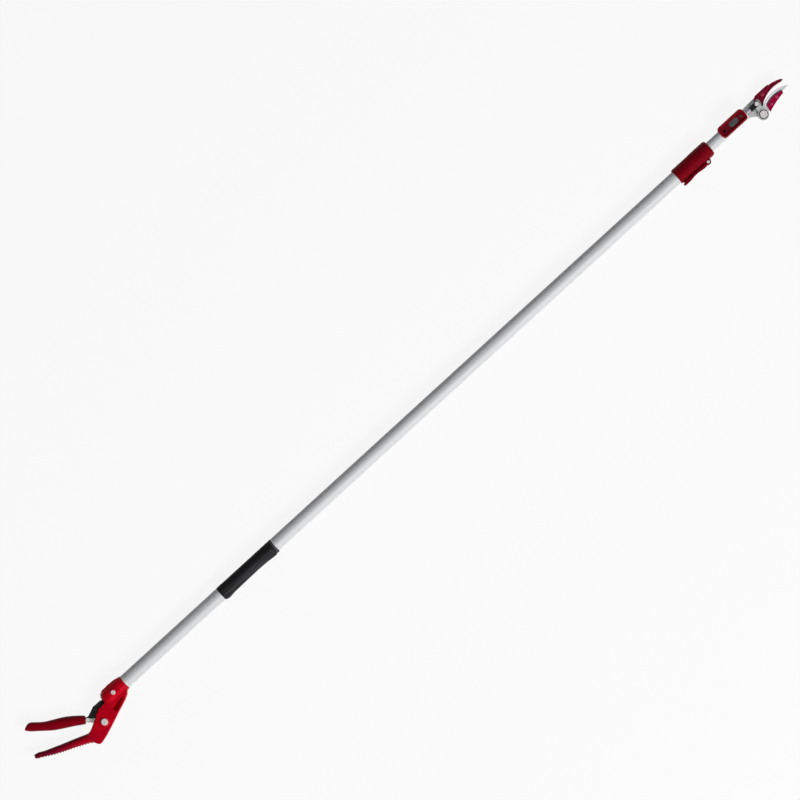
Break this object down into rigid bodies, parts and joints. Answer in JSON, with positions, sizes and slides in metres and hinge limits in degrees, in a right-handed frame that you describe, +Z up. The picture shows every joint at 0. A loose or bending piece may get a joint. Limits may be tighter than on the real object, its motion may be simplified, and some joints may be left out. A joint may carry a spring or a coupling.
{
  "type": "telescopic tree pruner pole",
  "caption": "Long telescopic pole with a squeeze trigger at one end that works a bypass cutting head at the other, a lever lock on the sliding tube and a screw-on saw seat.",
  "frame": {"origin": "middle of the base of the box round the closed pole as it lies on its side, on the surface that it rests on", "axes": "+X along the pole from the handle to the cutting head, +Y to the side that the trigger opens to, +Z up, out of the saw seat"},
  "size_m": [1.7998, 0.1152, 0.0332],
  "materials": {
    "tube_silver": "satin anodised",
    "red_casting": "gloss red enamel on die-cast alloy",
    "red_vinyl": "dipped vinyl, semi-gloss",
    "collar_red": "moulded, semi-gloss",
    "seat_red": "moulded, gloss",
    "head_red": "dark red coated steel",
    "holder_red": "crimson coated steel",
    "black_rubber": "matt",
    "black_steel": "black oxide",
    "blade_steel": "ground",
    "zinc_steel": "zinc plated",
    "dark_screw": "dark plated",
    "rod_steel": "drawn",
    "spring_steel": "drawn wire",
    "head_alloy": "as-cast alloy",
    "brass": "turned",
    "black_nylon": "moulded nylon"
  },
  "bodies": {
    "pole": {"outer_tube": "tube_silver", "hand_grip": "black_rubber", "handle_casting": "red_casting", "socket_screws": "zinc_steel", "pivot_bolt": "zinc_steel", "pivot_nut": "zinc_steel", "tube_plug": "black_nylon", "collar_body": "collar_red", "lock_pin": "zinc_steel", "clamp_pad": "black_nylon", "collar_bush": "black_nylon", "collar_screw": "zinc_steel", "return_spring": "spring_steel"},
    "trigger": {"trigger_lever": "black_steel", "trigger_grip": "red_vinyl", "trigger_bush": "brass", "trigger_rivet": "zinc_steel"},
    "lower_rod": {"rod_clevis": "black_steel", "clevis_pin": "black_steel", "pull_tube": "rod_steel", "spring_collar": "brass", "rod_clutch": "brass"},
    "upper_pole": {"inner_tube": "tube_silver", "slide_bush": "black_nylon", "saw_seat": "seat_red", "seat_screw": "dark_screw", "head_frame": "head_alloy", "head_screws": "zinc_steel", "hook": "head_red", "head_rivet": "zinc_steel", "head_bolt": "zinc_steel", "head_washer": "zinc_steel", "head_nut": "zinc_steel"},
    "upper_rod": {"pull_rod": "rod_steel", "rod_fork": "black_steel", "fork_pin": "zinc_steel"},
    "blade": {"cutting_blade": "blade_steel", "stem_holder": "holder_red", "holder_pad": "black_rubber", "holder_rivets": "zinc_steel"},
    "lock_lever": {"lock_lever": "collar_red"}
  },
  "joints": [
    {"name": "trigger_pivot", "type": "hinge", "parent": "pole", "child": "trigger", "pos_m": [-0.764, -0.0333, 0.016], "axis": [0, 0, 1], "range_deg": [0, 12], "stiffness_Nm_per_rad": 1.5, "springref_deg": -14.32},
    {"name": "lower_rod_slide", "type": "slide", "parent": "pole", "child": "lower_rod", "axis": [1, 0, 0], "range_m": [-0.00603, 0], "deforming": ["return_spring"]},
    {"name": "pole_slide", "type": "slide", "parent": "pole", "child": "upper_pole", "axis": [1, 0, 0], "range_m": [0, 1]},
    {"name": "upper_rod_slide", "type": "slide", "parent": "upper_pole", "child": "upper_rod", "axis": [1, 0, 0], "range_m": [-0.00603, 0]},
    {"name": "blade_pivot", "type": "hinge", "parent": "upper_pole", "child": "blade", "pos_m": [0.8315, -0.0268, 0.016], "axis": [0, 0, 1], "range_deg": [0, 15.6]},
    {"name": "lock_lever_hinge", "type": "hinge", "parent": "pole", "child": "lock_lever", "pos_m": [0.701, -0.0229, 0.016], "axis": [0, 0, 1], "range_deg": [0, 115]}
  ],
  "couplings": [
    {"joint": "lower_rod_slide", "follows": "trigger_pivot", "m_per_rad": -0.028605},
    {"joint": "upper_rod_slide", "follows": "trigger_pivot", "m_per_rad": -0.028605},
    {"joint": "blade_pivot", "follows": "trigger_pivot", "ratio": 1.2923}
  ]
}
